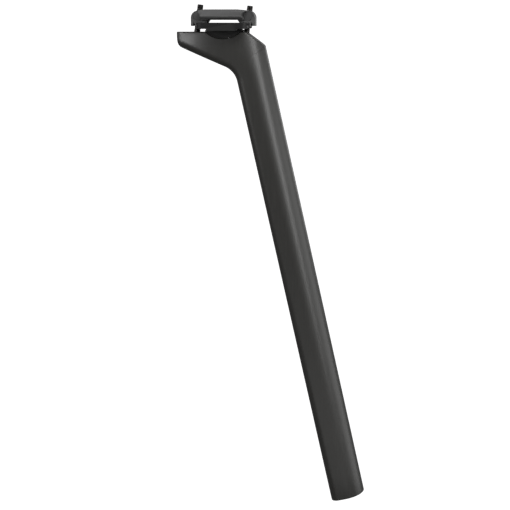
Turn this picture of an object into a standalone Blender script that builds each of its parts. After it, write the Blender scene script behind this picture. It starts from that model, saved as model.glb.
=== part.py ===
"""Bicycle seatpost: a D-section composite post with a set-back head and a two-bolt saddle clamp.

Lengths are in millimetres until they reach a mesh. The origin is the centre of the tube's lower end,
+X is forward, +Z is up as fitted to the bicycle, and the tube leans back from +Z.
"""

from math import acos, asin, cos, pi, radians, sin, sqrt, tan

import bmesh
import bpy
from mathutils import Matrix, Vector

MM = 0.001

# Post tube: a D in section, its flat side to the rear
LEAN = radians(12.78)
DEPTH = 27.2
HALF_WIDTH = 14.4
BACK_CORNER = 6.0
WIDEST = 11.0
WALL = 2.2
BORE_DEPTH = 318.0

# Head: the overhang behind the tube, its flat deck and the sloped facet in front
DECK_Z = 377.2
FACET_START_X = -84.4
FACET_SLOPE = radians(34.8)
UNDERSIDE = (-99.8, 350.25)
UNDERSIDE_SLOPE = radians(22.9)
ARMPIT_RADIUS = 16.0
REAR_X = -138.3
REAR_CORNER = 6.0
REAR_HALF_WIDTH = 5.0
REAR_DEPTH = 28.0
REAR_WIDEST = 8.0
REAR_BACK_CORNER = 3.0

# Saddle tilt: the cradle rocks in a round trough across the head
TILT_X = -101.2
TILT_Z = 392.1
CRADLE_RADIUS = 20.0
TROUGH_RADIUS = 20.1

# Saddle rails, held between the cradle and the upper clamp
RAIL_RADIUS = 3.5
RAIL_SPREAD = 22.0
RAIL_Z = 385.15
CLAMP_HALF_WIDTH = 27.0

# Lower cradle
CRADLE_TOP = 384.1
CRADLE_BOTTOM = 378.0
CRADLE_LOBE = 379.5
CRADLE_LOBE_CORNER = 1.6
CRADLE_HALF_LENGTH = 19.6
CRADLE_ARCH = 12.0
CRADLE_ARCH_SLANT = 1.0
CRADLE_FOOT_GAP = 0.4
CRADLE_CORNER = 5.0

# Upper clamp
CLAMP_UNDERSIDE = 386.2
CLAMP_LIP = 387.4
CLAMP_LIP_BEVEL = 1.4
CLAMP_TOP = 394.1
CLAMP_SHOULDER = 393.4
CLAMP_PLATEAU = 12.4
CLAMP_WING = 19.0
CLAMP_WING_CORNER = 1.5
BOSS_RADIUS = 5.4
BOSS_CENTRE_Z = 387.9
BOSS_HALF_WIDTH = 9.0
BOSS_REACH = 8.0
BOSS_FOOT_Z = 384.15
BOSS_FOOT_REACH = 6.6
HOOK_BOTTOM = 381.6
HOOK_DEPTH = 4.2
HOOK_LEG = 1.7
NOTCH_WIDTH = 1.7
NOTCH_HEIGHT = 3.6
NOTCH_DEPTH = 6.0

# Bolts, leaning forward, with their barrel nuts in the upper clamp
BOLT_LEAN = radians(7.8)
NUT_Z = 389.1
REAR_BOLT_X = -121.3
FRONT_BOLT_X = -82.45
REAR_PIVOT_Z = 365.8
FRONT_PIVOT_Z = 352.0
REAR_TIP_Z = 398.0
FRONT_TIP_Z = 397.0
BOLT_RADIUS = 2.4
BOLT_HEAD_RADIUS = 4.25
BOLT_HEAD_TOP = 2.4
BOLT_HEAD_HEIGHT = 4.0
BOLT_HEAD_CHAMFER = 0.4
BOLT_TIP_CHAMFER = 0.6
HEX_ACROSS_FLATS = 4.0
HEX_DEPTH = 2.6
NUT_RADIUS = 3.5
NUT_HALF_LENGTH = 8.8
NUT_BORE = 3.05
NUT_HOLE = 3.65
CLAMP_BOLT_HOLE = 4.0
CRADLE_BOLT_HOLE = 4.1
POST_BOLT_HOLE = 3.2

# Seats under the bolt heads: a domed washer in a hollow seat, both centred on the bolt's pivot
DOME_RADIUS = 6.0
SEAT_RADIUS = 6.2
WASHER_RADIUS = 4.4
WASHER_BORE = 2.6
WASHER_BOTTOM = 2.6
INSERT_RADIUS = 4.85
INSERT_BORE = 3.1
INSERT_TOP = 7.0
POCKET_RADIUS = 5.0
POCKET_TOP = 7.3
REAR_POCKET_LENGTH = 24.0
FRONT_POCKET_LENGTH = 52.0

# How far a cutting solid stands out past what it cuts
PAST = 5.0

ROUND = 32
CORNER_STEPS = 6
FRONT_STEPS = 14
FAN_STEPS = 12
OVERHANG_STEPS = 8
END_STEPS = 8

UP = Vector((-sin(LEAN), cos(LEAN)))
FORWARD = Vector((cos(LEAN), sin(LEAN)))


def fresh_scene():
    for item in list(bpy.data.objects):
        bpy.data.objects.remove(item)


def material(name, colour, roughness, metallic):
    surface = bpy.data.materials.new(name)
    surface.use_nodes = True
    shader = surface.node_tree.nodes["Principled BSDF"]
    shader.inputs["Base Color"].default_value = (*colour, 1.0)
    shader.inputs["Roughness"].default_value = roughness
    shader.inputs["Metallic"].default_value = metallic
    return surface


def object_from(mesh, name):
    """Turns a bmesh in millimetres into a named object whose faces point outward."""
    bmesh.ops.recalc_face_normals(mesh, faces=mesh.faces)
    bmesh.ops.scale(mesh, vec=(MM, MM, MM), verts=mesh.verts)
    data = bpy.data.meshes.new(name)
    mesh.to_mesh(data)
    mesh.free()
    item = bpy.data.objects.new(name, data)
    bpy.context.scene.collection.objects.link(item)
    return item


def prism(name, outline, low_y, high_y):
    """A side outline in X and Z, pulled across from low_y to high_y."""
    mesh = bmesh.new()
    face = mesh.faces.new([mesh.verts.new((x, low_y, z)) for x, z in outline])
    pulled = bmesh.ops.extrude_face_region(mesh, geom=[face])
    moved = [part for part in pulled["geom"] if isinstance(part, bmesh.types.BMVert)]
    bmesh.ops.translate(mesh, verts=moved, vec=(0.0, high_y - low_y, 0.0))
    return object_from(mesh, name)


def slab(name, outline, low_z, high_z):
    """A plan outline in X and Y, pulled up from low_z to high_z."""
    mesh = bmesh.new()
    face = mesh.faces.new([mesh.verts.new((x, y, low_z)) for x, y in outline])
    pulled = bmesh.ops.extrude_face_region(mesh, geom=[face])
    moved = [part for part in pulled["geom"] if isinstance(part, bmesh.types.BMVert)]
    bmesh.ops.translate(mesh, verts=moved, vec=(0.0, 0.0, high_z - low_z))
    return object_from(mesh, name)


def loft(name, rings):
    """A closed skin over rings of equally many points, capped at both ends."""
    mesh = bmesh.new()
    loops = [[mesh.verts.new(point) for point in ring] for ring in rings]
    count = len(loops[0])
    for lower, upper in zip(loops, loops[1:]):
        for k in range(count):
            after = (k + 1) % count
            mesh.faces.new((lower[k], lower[after], upper[after], upper[k]))
    mesh.faces.new(loops[0])
    mesh.faces.new(loops[-1])
    return object_from(mesh, name)


def turned(name, profile, segments=ROUND):
    """A closed outline of (radius, height) points, turned about the local Z axis."""
    mesh = bmesh.new()
    rings = []
    for k in range(segments):
        angle = 2.0 * pi * k / segments
        rings.append([mesh.verts.new((r * cos(angle), r * sin(angle), h)) for r, h in profile])
    count = len(profile)
    for k in range(segments):
        here = rings[k]
        after = rings[(k + 1) % segments]
        for j in range(count):
            other = (j + 1) % count
            mesh.faces.new((here[j], here[other], after[other], after[j]))
    return object_from(mesh, name)


def rod(name, radius, low, high, segments=ROUND):
    """A plain cylinder along the local Z axis."""
    mesh = bmesh.new()
    bmesh.ops.create_cone(mesh, cap_ends=True, segments=segments, radius1=radius, radius2=radius,
                          depth=high - low, matrix=Matrix.Translation((0.0, 0.0, (low + high) / 2.0)))
    return object_from(mesh, name)


def stand(item, x, z, lean=0.0):
    """Puts an object's local origin at (x, 0, z), its local Z axis leaning forward."""
    item.location = (x * MM, 0.0, z * MM)
    item.rotation_euler = (0.0, lean, 0.0)
    return item


def move_origin(item, x, z):
    """Moves an object's origin to (x, 0, z) without moving its mesh in the world."""
    item.data.transform(Matrix.Translation((-x * MM, 0.0, -z * MM)))
    item.location = (x * MM, 0.0, z * MM)


def bore_part(item, *cutters):
    """Takes the cutters' spaces out of an object at once and hides the cutters."""
    group = bpy.data.collections.new(cutters[0].name)
    bpy.context.scene.collection.children.link(group)
    for cutter in cutters:
        bpy.context.scene.collection.objects.unlink(cutter)
        group.objects.link(cutter)
        hide(cutter)
    change = item.modifiers.new(group.name, "BOOLEAN")
    change.operation = "DIFFERENCE"
    change.operand_type = "COLLECTION"
    change.collection = group


def join_part(item, addition):
    """Joins a second solid to an object and hides it."""
    change = item.modifiers.new(addition.name, "BOOLEAN")
    change.operation = "UNION"
    change.object = addition
    hide(addition)


def keep_part(item, limit):
    """Keeps only what lies inside the limiting solid."""
    change = item.modifiers.new(limit.name, "BOOLEAN")
    change.operation = "INTERSECT"
    change.object = limit
    hide(limit)


def hide(item):
    item.hide_render = True
    item.display_type = "WIRE"


def arc(centre, radius, start, end, steps):
    """Points on a circle from one angle to another, both ends included."""
    angles = [start + (end - start) * k / steps for k in range(steps + 1)]
    return [(centre[0] + radius * cos(a), centre[1] + radius * sin(a)) for a in angles]


def rounded_rectangle(half_x, half_y, radius, steps=CORNER_STEPS):
    corners = ((1, 1, 0.0), (-1, 1, pi / 2), (-1, -1, pi), (1, -1, 3 * pi / 2))
    outline = []
    for side_x, side_y, start in corners:
        centre = (side_x * (half_x - radius), side_y * (half_y - radius))
        outline += arc(centre, radius, start, start + pi / 2, steps)
    return outline


def d_section(depth, half_width, corner, widest):
    """One ring of the D as (distance from the flat back, sideways), back corners first."""
    side = [(0.0, half_width - corner)]
    for k in range(1, CORNER_STEPS + 1):
        turn = pi / 2 * k / CORNER_STEPS
        side.append((corner * (1.0 - cos(turn)), half_width - corner * (1.0 - sin(turn))))
    for k in range(FRONT_STEPS):
        turn = pi / 2 * k / FRONT_STEPS
        side.append((widest + (depth - widest) * sin(turn), half_width * cos(turn)))
    front = [(depth, 0.0)]
    far = [(p, -q) for p, q in reversed(side)]
    return side + front + far


def ring_at(back, direction, section):
    """A section laid from its back point along a direction in the side plane."""
    return [(back[0] + p * direction[0], q, back[1] + p * direction[1]) for p, q in section]


def tube_ring(along, inset=0.0):
    """The tube's section at a distance up its axis, or the bore's at an inset from it."""
    back = UP * along - FORWARD * (DEPTH / 2 - inset)
    section = d_section(DEPTH - 2 * inset, HALF_WIDTH - inset, BACK_CORNER - inset, WIDEST - inset)
    return ring_at(back, FORWARD, section)


def armpit_centre():
    """The centre of the round between the tube's back and the overhang's underside."""
    inward = Vector((sin(UNDERSIDE_SLOPE), cos(UNDERSIDE_SLOPE)))
    from_tube = -DEPTH / 2 - ARMPIT_RADIUS
    from_underside = inward.dot(Vector(UNDERSIDE)) - ARMPIT_RADIUS
    across = FORWARD[0] * inward[1] - FORWARD[1] * inward[0]
    return Vector(((from_tube * inward[1] - from_underside * FORWARD[1]) / across,
                   (from_underside * FORWARD[0] - from_tube * inward[0]) / across))


def fan_depth(turn):
    """From the armpit's round to the line of the tube's front, at a turn from square to the tube."""
    return (DEPTH + ARMPIT_RADIUS) / cos(turn) - ARMPIT_RADIUS


def tail_half_width(start_x, x):
    """The overhang's half width at x: in plan it closes in to its end along a quarter of an ellipse."""
    share = min(1.0, (start_x - x) / (start_x - REAR_X))
    return REAR_HALF_WIDTH + (HALF_WIDTH - REAR_HALF_WIDTH) * sqrt(1.0 - share * share)


def head_rings():
    """Rings that fan round the armpit, run out along the overhang and close in on its rounded end."""
    rings = []
    centre = armpit_centre()
    inward = pi / 2 - UNDERSIDE_SLOPE
    for k in range(FAN_STEPS + 1):
        angle = LEAN + (inward - LEAN) * k / FAN_STEPS
        direction = Vector((cos(angle), sin(angle)))
        section = d_section(fan_depth(angle - LEAN), HALF_WIDTH, BACK_CORNER, WIDEST)
        rings.append(ring_at(centre + direction * ARMPIT_RADIUS, direction, section))

    start = centre + Vector((cos(inward), sin(inward))) * ARMPIT_RADIUS
    outward = Vector((-cos(UNDERSIDE_SLOPE), sin(UNDERSIDE_SLOPE)))
    corner_run = REAR_CORNER * tan(inward / 2)
    run = (start[0] - REAR_X) / cos(UNDERSIDE_SLOPE) - corner_run
    first_depth = fan_depth(inward - LEAN)
    direction = Vector((cos(inward), sin(inward)))
    for k in range(1, OVERHANG_STEPS + 1):
        part = k / OVERHANG_STEPS
        depth = first_depth + (REAR_DEPTH - first_depth) * part
        widest = WIDEST + (REAR_WIDEST - WIDEST) * part
        back = start + outward * run * part
        section = d_section(depth, tail_half_width(start[0], back[0]), BACK_CORNER, widest)
        rings.append(ring_at(back, direction, section))

    round_centre = start + outward * run + direction * REAR_CORNER
    for k in range(1, END_STEPS + 1):
        part = sin(pi / 2 * k / END_STEPS)
        angle = inward * (1.0 - part)
        back = round_centre - Vector((cos(angle), sin(angle))) * REAR_CORNER
        tilt = inward + UNDERSIDE_SLOPE * part
        corner = BACK_CORNER + (REAR_BACK_CORNER - BACK_CORNER) * part
        section = d_section(REAR_DEPTH, tail_half_width(start[0], back[0]), corner, REAR_WIDEST)
        rings.append(ring_at(back, (cos(tilt), sin(tilt)), section))
    return rings


def head_top():
    """Everything above the deck, the facet and the trough, as one outline."""
    reach = DEPTH
    high = DECK_Z + 2 * DEPTH
    half_angle = acos((TILT_Z - DECK_Z) / TROUGH_RADIUS)
    trough = arc((TILT_X, TILT_Z), TROUGH_RADIUS, -pi / 2 - half_angle, -pi / 2 + half_angle, ROUND)
    facet_end = (FACET_START_X + reach * cos(FACET_SLOPE), DECK_Z - reach * sin(FACET_SLOPE))
    left = REAR_X - reach
    right = facet_end[0] + reach
    return [(left, high), (left, DECK_Z), *trough, (FACET_START_X, DECK_Z), facet_end,
            (right, facet_end[1]), (right, high)]


def on_bolt(bolt_x, z):
    """Where a bolt's axis passes a height."""
    return bolt_x + (z - NUT_Z) * tan(BOLT_LEAN)


def pivot_of(bolt_x, pivot_z):
    return on_bolt(bolt_x, pivot_z), pivot_z


def post_shell():
    rings = [tube_ring(0.0)] + head_rings()
    post = loft("post_shell", rings)
    cutters = [prism("head_top_cut", head_top(), -2 * HALF_WIDTH, 2 * HALF_WIDTH),
               loft("bore_cut", [tube_ring(-WALL, WALL), tube_ring(BORE_DEPTH, WALL)])]
    seats = (("rear", REAR_BOLT_X, REAR_PIVOT_Z, REAR_POCKET_LENGTH),
             ("front", FRONT_BOLT_X, FRONT_PIVOT_Z, FRONT_POCKET_LENGTH))
    for name, bolt_x, pivot_z, length in seats:
        pivot = pivot_of(bolt_x, pivot_z)
        hole = rod(name + "_hole_cut", POST_BOLT_HOLE, 0.0, 2 * TROUGH_RADIUS)
        pocket = rod(name + "_pocket_cut", POCKET_RADIUS, POCKET_TOP - length, POCKET_TOP)
        cutters += [stand(hole, *pivot, BOLT_LEAN), stand(pocket, *pivot, BOLT_LEAN)]
    bore_part(post, *cutters)
    return post


def groove_cut(name, side):
    """A saddle rail's round space, along the clamp."""
    groove = rod(name, RAIL_RADIUS, -2 * CLAMP_HALF_WIDTH, 2 * CLAMP_HALF_WIDTH)
    groove.location = (TILT_X * MM, side * RAIL_SPREAD * MM, RAIL_Z * MM)
    groove.rotation_euler = (0.0, pi / 2, 0.0)
    return groove


def cradle_outline(round_foot):
    """The cradle from the side: a bar with raised ends, with or without the round foot."""
    half = CRADLE_HALF_LENGTH
    corner = CRADLE_LOBE_CORNER
    ends = asin((TILT_Z - CRADLE_BOTTOM) / CRADLE_RADIUS)
    flat = CRADLE_ARCH - CRADLE_ARCH_SLANT
    outline = [(TILT_X + half, CRADLE_TOP), (TILT_X - half, CRADLE_TOP)]
    outline += arc((TILT_X - half + corner, CRADLE_LOBE + corner), corner, pi, 3 * pi / 2, CORNER_STEPS)
    outline.append((TILT_X - CRADLE_ARCH, CRADLE_LOBE))
    if round_foot:
        outline += arc((TILT_X, TILT_Z), CRADLE_RADIUS, pi + ends, 2 * pi - ends, ROUND)
    else:
        outline += [(TILT_X - flat, CRADLE_BOTTOM), (TILT_X + flat, CRADLE_BOTTOM)]
    outline.append((TILT_X + CRADLE_ARCH, CRADLE_LOBE))
    outline += arc((TILT_X + half - corner, CRADLE_LOBE + corner), corner, -pi / 2, 0.0, CORNER_STEPS)
    return outline


def lower_cradle():
    cradle = prism("lower_cradle", cradle_outline(False), -CLAMP_HALF_WIDTH, CLAMP_HALF_WIDTH)
    foot_half = HALF_WIDTH - CRADLE_FOOT_GAP
    foot = prism("cradle_foot", cradle_outline(True), -foot_half, foot_half)
    join_part(cradle, foot)
    plan = rounded_rectangle(CRADLE_HALF_LENGTH, CLAMP_HALF_WIDTH, CRADLE_CORNER)
    limit = slab("cradle_plan", [(TILT_X + x, y) for x, y in plan], DECK_Z - 2 * CRADLE_RADIUS, TILT_Z)
    keep_part(cradle, limit)
    cutters = [groove_cut(f"cradle_groove_{side}", side) for side in (-1, 1)]
    for name, bolt_x in (("rear", REAR_BOLT_X), ("front", FRONT_BOLT_X)):
        hole = rod(name + "_cradle_cut", CRADLE_BOLT_HOLE, -CRADLE_RADIUS, CRADLE_RADIUS)
        cutters.append(stand(hole, bolt_x, NUT_Z, BOLT_LEAN))
    bore_part(cradle, *cutters)
    move_origin(cradle, TILT_X, TILT_Z)
    return cradle


def clamp_outline():
    """The upper clamp's plate from the side: a plateau with sloped shoulders."""
    wing = CLAMP_WING
    return [(TILT_X - wing, CLAMP_UNDERSIDE), (TILT_X + wing, CLAMP_UNDERSIDE),
            (TILT_X + wing, CLAMP_SHOULDER), (TILT_X + CLAMP_PLATEAU, CLAMP_TOP),
            (TILT_X - CLAMP_PLATEAU, CLAMP_TOP), (TILT_X - wing, CLAMP_SHOULDER)]


def clamp_plan():
    """The upper clamp's plate from above: a rectangle with its corners cut off."""
    outline = []
    for side_x, side_y in ((1, 1), (1, -1), (-1, -1), (-1, 1)):
        points = [(side_x * (CLAMP_WING - CLAMP_WING_CORNER), side_y * CLAMP_HALF_WIDTH),
                  (side_x * CLAMP_WING, side_y * (CLAMP_HALF_WIDTH - CLAMP_WING_CORNER))]
        outline += points if side_x == side_y else points[::-1]
    return [(TILT_X + x, y) for x, y in outline]


def lip_cut(name, side):
    """The space below a wing's outer lip, with the bevel on the lip's lower edge."""
    past = CLAMP_HALF_WIDTH + PAST
    low = CLAMP_UNDERSIDE - PAST
    end_view = [(RAIL_SPREAD, low), (past, low), (past, CLAMP_LIP + CLAMP_LIP_BEVEL + PAST),
                (CLAMP_HALF_WIDTH - CLAMP_LIP_BEVEL, CLAMP_LIP), (RAIL_SPREAD, CLAMP_LIP)]
    lip = prism(name, end_view, -CLAMP_WING - PAST, CLAMP_WING + PAST)
    lip.rotation_euler = (0.0, 0.0, side * pi / 2)
    lip.location = (TILT_X * MM, 0.0, 0.0)
    return lip


def boss(name, bolt_x, side):
    """The round end of the upper clamp that holds a barrel nut, with the hook outside it."""
    outer = bolt_x + side * BOSS_RADIUS
    start = 0.0 if side > 0 else pi
    top = arc((bolt_x, BOSS_CENTRE_Z), BOSS_RADIUS, start, start + side * pi / 2, 2 * CORNER_STEPS)
    inner = bolt_x - side * BOSS_REACH
    outline = [(outer, HOOK_BOTTOM), *top, (inner, CLAMP_SHOULDER), (inner, CLAMP_UNDERSIDE),
               (bolt_x - side * BOSS_FOOT_REACH, BOSS_FOOT_Z), (outer - side * HOOK_DEPTH, BOSS_FOOT_Z),
               (outer - side * HOOK_DEPTH, HOOK_BOTTOM)]
    return prism(name, outline, -BOSS_HALF_WIDTH, BOSS_HALF_WIDTH)


def hook_notches(name, bolt_x, side):
    """The two three-cornered recesses in a hook's side faces, open below."""
    leg = bolt_x + side * (BOSS_RADIUS - HOOK_LEG)
    far = leg - side * NOTCH_WIDTH
    high = HOOK_BOTTOM + NOTCH_HEIGHT
    low = HOOK_BOTTOM - NOTCH_WIDTH
    outline = [(leg, low), (leg, HOOK_BOTTOM), (leg - side * NOTCH_WIDTH / 3, high), (far, HOOK_BOTTOM),
               (far, low)]
    inside = BOSS_HALF_WIDTH - NOTCH_DEPTH
    outside = BOSS_HALF_WIDTH + NOTCH_DEPTH
    return [prism(name + "_near", outline, -outside, -inside), prism(name + "_far", outline, inside, outside)]


def upper_clamp():
    clamp = prism("upper_clamp", clamp_outline(), -CLAMP_HALF_WIDTH - PAST, CLAMP_HALF_WIDTH + PAST)
    keep_part(clamp, slab("clamp_plan", clamp_plan(), CLAMP_UNDERSIDE - PAST, CLAMP_TOP + PAST))
    cutters = []
    for side in (-1, 1):
        cutters += [lip_cut(f"clamp_lip_{side}", side), groove_cut(f"clamp_groove_{side}", side)]
    bore_part(clamp, *cutters)
    join_part(clamp, boss("rear_boss", REAR_BOLT_X, -1))
    join_part(clamp, boss("front_boss", FRONT_BOLT_X, 1))
    holes = []
    for name, bolt_x, side in (("rear", REAR_BOLT_X, -1), ("front", FRONT_BOLT_X, 1)):
        across = rod(name + "_nut_cut", NUT_HOLE, -CLAMP_HALF_WIDTH, CLAMP_HALF_WIDTH)
        across.location = (bolt_x * MM, 0.0, NUT_Z * MM)
        across.rotation_euler = (pi / 2, 0.0, 0.0)
        down = rod(name + "_clamp_cut", CLAMP_BOLT_HOLE, -CRADLE_RADIUS, CRADLE_RADIUS)
        holes += [across, stand(down, bolt_x, NUT_Z, BOLT_LEAN)]
        holes += hook_notches(name + "_notch", bolt_x, side)
    bore_part(clamp, *holes)
    move_origin(clamp, TILT_X, TILT_Z)
    return clamp


def bolt(name, bolt_x, pivot_z, tip_z):
    """A socket-head bolt about its own axis, its local origin on the pivot."""
    tip = (tip_z - pivot_z) / cos(BOLT_LEAN)
    head_low = BOLT_HEAD_TOP - BOLT_HEAD_HEIGHT
    profile = [(BOLT_HEAD_RADIUS - BOLT_HEAD_CHAMFER, head_low),
               (BOLT_HEAD_RADIUS, head_low + BOLT_HEAD_CHAMFER),
               (BOLT_HEAD_RADIUS, BOLT_HEAD_TOP), (BOLT_RADIUS, BOLT_HEAD_TOP),
               (BOLT_RADIUS, tip - BOLT_TIP_CHAMFER), (BOLT_RADIUS - BOLT_TIP_CHAMFER, tip)]
    turns = [2.0 * pi * k / ROUND for k in range(ROUND)]
    rings = [[(radius * cos(a), radius * sin(a), height) for a in turns] for radius, height in profile]
    item = loft(name, rings)
    corner = HEX_ACROSS_FLATS / 2 / cos(pi / 6)
    socket = rod(name + "_socket_cut", corner, head_low - PAST, head_low + HEX_DEPTH, segments=6)
    bore_part(item, stand(socket, *pivot_of(bolt_x, pivot_z), BOLT_LEAN))
    return stand(item, *pivot_of(bolt_x, pivot_z), BOLT_LEAN)


def barrel_nut(name, bolt_x):
    nut = rod(name, NUT_RADIUS, -NUT_HALF_LENGTH, NUT_HALF_LENGTH)
    nut.data.transform(Matrix.Rotation(pi / 2, 4, "X"))
    hole = rod(name + "_cut", NUT_BORE, -2 * NUT_RADIUS, 2 * NUT_RADIUS)
    bore_part(nut, stand(hole, bolt_x, NUT_Z, BOLT_LEAN))
    return stand(nut, bolt_x, NUT_Z, BOLT_LEAN)


def domed_washer(name, bolt_x, pivot_z):
    inner = asin(WASHER_BORE / DOME_RADIUS)
    outer = asin(WASHER_RADIUS / DOME_RADIUS)
    profile = [(WASHER_RADIUS, WASHER_BOTTOM)]
    for k in range(CORNER_STEPS + 1):
        angle = outer + (inner - outer) * k / CORNER_STEPS
        profile.append((DOME_RADIUS * sin(angle), DOME_RADIUS * cos(angle)))
    profile.append((WASHER_BORE, WASHER_BOTTOM))
    return stand(turned(name, profile), *pivot_of(bolt_x, pivot_z), BOLT_LEAN)


def seat_insert(name, bolt_x, pivot_z):
    inner = asin(INSERT_BORE / SEAT_RADIUS)
    outer = asin(INSERT_RADIUS / SEAT_RADIUS)
    profile = [(INSERT_RADIUS, INSERT_TOP)]
    for k in range(CORNER_STEPS + 1):
        angle = outer + (inner - outer) * k / CORNER_STEPS
        profile.append((SEAT_RADIUS * sin(angle), SEAT_RADIUS * cos(angle)))
    profile.append((INSERT_BORE, INSERT_TOP))
    return stand(turned(name, profile), *pivot_of(bolt_x, pivot_z), BOLT_LEAN)


def main():
    fresh_scene()
    carbon = material("carbon", (0.035, 0.034, 0.032), 0.38, 0.0)
    clamp_metal = material("clamp_metal", (0.10, 0.10, 0.10), 0.45, 0.6)
    black_metal = material("black_metal", (0.014, 0.014, 0.015), 0.42, 0.4)
    bolt_metal = material("bolt_metal", (0.02, 0.02, 0.021), 0.35, 0.8)
    seat_metal = material("seat_metal", (0.35, 0.35, 0.36), 0.35, 1.0)

    parts = [(post_shell(), carbon), (lower_cradle(), black_metal), (upper_clamp(), clamp_metal)]
    bolts = (("rear", REAR_BOLT_X, REAR_PIVOT_Z, REAR_TIP_Z),
             ("front", FRONT_BOLT_X, FRONT_PIVOT_Z, FRONT_TIP_Z))
    for name, bolt_x, pivot_z, tip_z in bolts:
        parts.append((bolt(name + "_bolt", bolt_x, pivot_z, tip_z), bolt_metal))
        parts.append((barrel_nut(name + "_barrel_nut", bolt_x), clamp_metal))
        parts.append((domed_washer(name + "_washer", bolt_x, pivot_z), seat_metal))
        parts.append((seat_insert(name + "_seat_insert", bolt_x, pivot_z), seat_metal))
    for item, surface in parts:
        item.data.materials.append(surface)


main()
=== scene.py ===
"""Looks for the seatpost: finer meshes, procedural materials, light and camera round the frame.

Shapes are worked out in millimetres in the frame's own axes: +X forward, +Z up, origin at the
centre of the tube's lower end. Every mesh is scaled to metres once, when it is made.
"""

from math import acos, asin, cos, hypot, pi, radians, sin, sqrt, tan

import bmesh
import bpy
from mathutils import Matrix, Vector


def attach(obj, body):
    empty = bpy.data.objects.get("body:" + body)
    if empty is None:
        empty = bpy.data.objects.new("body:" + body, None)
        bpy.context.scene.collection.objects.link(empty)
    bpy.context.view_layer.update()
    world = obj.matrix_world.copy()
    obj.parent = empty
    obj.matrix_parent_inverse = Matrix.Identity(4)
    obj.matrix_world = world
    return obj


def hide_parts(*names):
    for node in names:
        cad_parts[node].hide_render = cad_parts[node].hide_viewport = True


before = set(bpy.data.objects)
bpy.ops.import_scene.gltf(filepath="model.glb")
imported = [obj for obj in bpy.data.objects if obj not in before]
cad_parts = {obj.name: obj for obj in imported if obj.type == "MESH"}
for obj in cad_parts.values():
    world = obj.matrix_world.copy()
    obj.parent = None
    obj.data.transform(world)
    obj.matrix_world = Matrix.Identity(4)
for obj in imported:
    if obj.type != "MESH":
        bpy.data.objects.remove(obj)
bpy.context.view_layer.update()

MM = 0.001

# Post tube
LEAN = radians(12.78)
DEPTH = 27.2
HALF_WIDTH = 14.4
BACK_CORNER = 6.0
WIDEST = 11.0
WALL = 2.2
BORE_DEPTH = 318.0
END_ROUND = 0.5
BORE_RINGS = (BORE_DEPTH, 240.0, 160.0, 80.0, END_ROUND)
TUBE_RINGS = (20.0, 80.0, 140.0, 200.0, 260.0, 310.0)

# Head
DECK_Z = 377.2
FACET_START_X = -84.4
FACET_SLOPE = radians(34.8)
FRONT_CORNER = 1.8
UNDERSIDE_SLOPE = radians(22.9)
UNDERSIDE = (-99.8, 350.25)
ARMPIT_RADIUS = 16.0
REAR_X = -138.3
REAR_CORNER = 6.0
REAR_HALF_WIDTH = 5.0
REAR_DEPTH = 28.0
REAR_WIDEST = 8.0
REAR_BACK_CORNER = 3.0
EDGE_ROUND = 0.7
RIM_ROUND = 0.8

# Clamp
TILT_X = -101.2
TILT_Z = 392.1
CRADLE_RADIUS = 20.0
TROUGH_RADIUS = 20.1
RAIL_RADIUS = 3.5
RAIL_SPREAD = 22.0
RAIL_Z = 385.15
CLAMP_HALF_WIDTH = 27.0
CRADLE_TOP = 384.1
CRADLE_BOTTOM = 378.0
CRADLE_LOBE = 379.5
CRADLE_LOBE_CORNER = 1.6
CRADLE_HALF_LENGTH = 19.6
CRADLE_ARCH = 12.0
CRADLE_ARCH_SLANT = 1.0
CRADLE_FOOT_GAP = 0.4
CRADLE_CORNER = 5.0
CLAMP_UNDERSIDE = 386.2
CLAMP_LIP = 387.4
CLAMP_LIP_BEVEL = 1.4
CLAMP_TOP = 394.1
CLAMP_SHOULDER = 393.4
CLAMP_PLATEAU = 12.4
CLAMP_WING = 19.0
CLAMP_WING_CORNER = 1.5
BOSS_RADIUS = 5.4
BOSS_CENTRE_Z = 387.9
BOSS_HALF_WIDTH = 9.0
BOSS_REACH = 8.0
BOSS_FOOT_Z = 384.15
BOSS_FOOT_REACH = 6.6
HOOK_BOTTOM = 381.6
HOOK_DEPTH = 4.2
HOOK_LEG = 1.7
NOTCH_WIDTH = 1.7
NOTCH_HEIGHT = 3.6
NOTCH_DEPTH = 6.0

# Bolts and nuts
BOLT_LEAN = radians(7.8)
NUT_Z = 389.1
REAR_BOLT_X = -121.3
FRONT_BOLT_X = -82.45
REAR_PIVOT_Z = 365.8
FRONT_PIVOT_Z = 352.0
REAR_TIP_Z = 398.0
FRONT_TIP_Z = 397.0
BOLT_RADIUS = 2.4
THREAD_PITCH = 0.8
THREAD_DEPTH = 0.42
THREAD_LENGTH = 20.0
BOLT_HEAD_RADIUS = 4.25
BOLT_HEAD_TOP = 2.4
BOLT_HEAD_HEIGHT = 4.0
HEX_ACROSS_FLATS = 4.0
HEX_DEPTH = 2.6
NUT_RADIUS = 3.5
NUT_HALF_LENGTH = 8.8
NUT_BORE = 3.05
NUT_HOLE = 3.65
CLAMP_BOLT_HOLE = 4.0
CRADLE_BOLT_HOLE = 4.1
POST_BOLT_HOLE = 3.2
POCKET_RADIUS = 5.0
POCKET_TOP = 7.3
REAR_POCKET_LENGTH = 24.0
FRONT_POCKET_LENGTH = 52.0

# The round at the head's socket end and how far in its middle lies, the chamfer at the head's
# other end and at the neck, the chamfer at the tip, and the least plain length after the head
BOLT_HEAD_ROUND = 0.45
BOLT_ROUND_MIDDLE = 0.12
BOLT_NECK_CHAMFER = 0.25
BOLT_TIP_CHAMFER = 0.5
BOLT_LEAST_PLAIN = 1.0

# How far a cutting solid stands out past what it cuts, and the same for a bolt's socket
PAST = 5.0
SOCKET_PAST = 1.0

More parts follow.
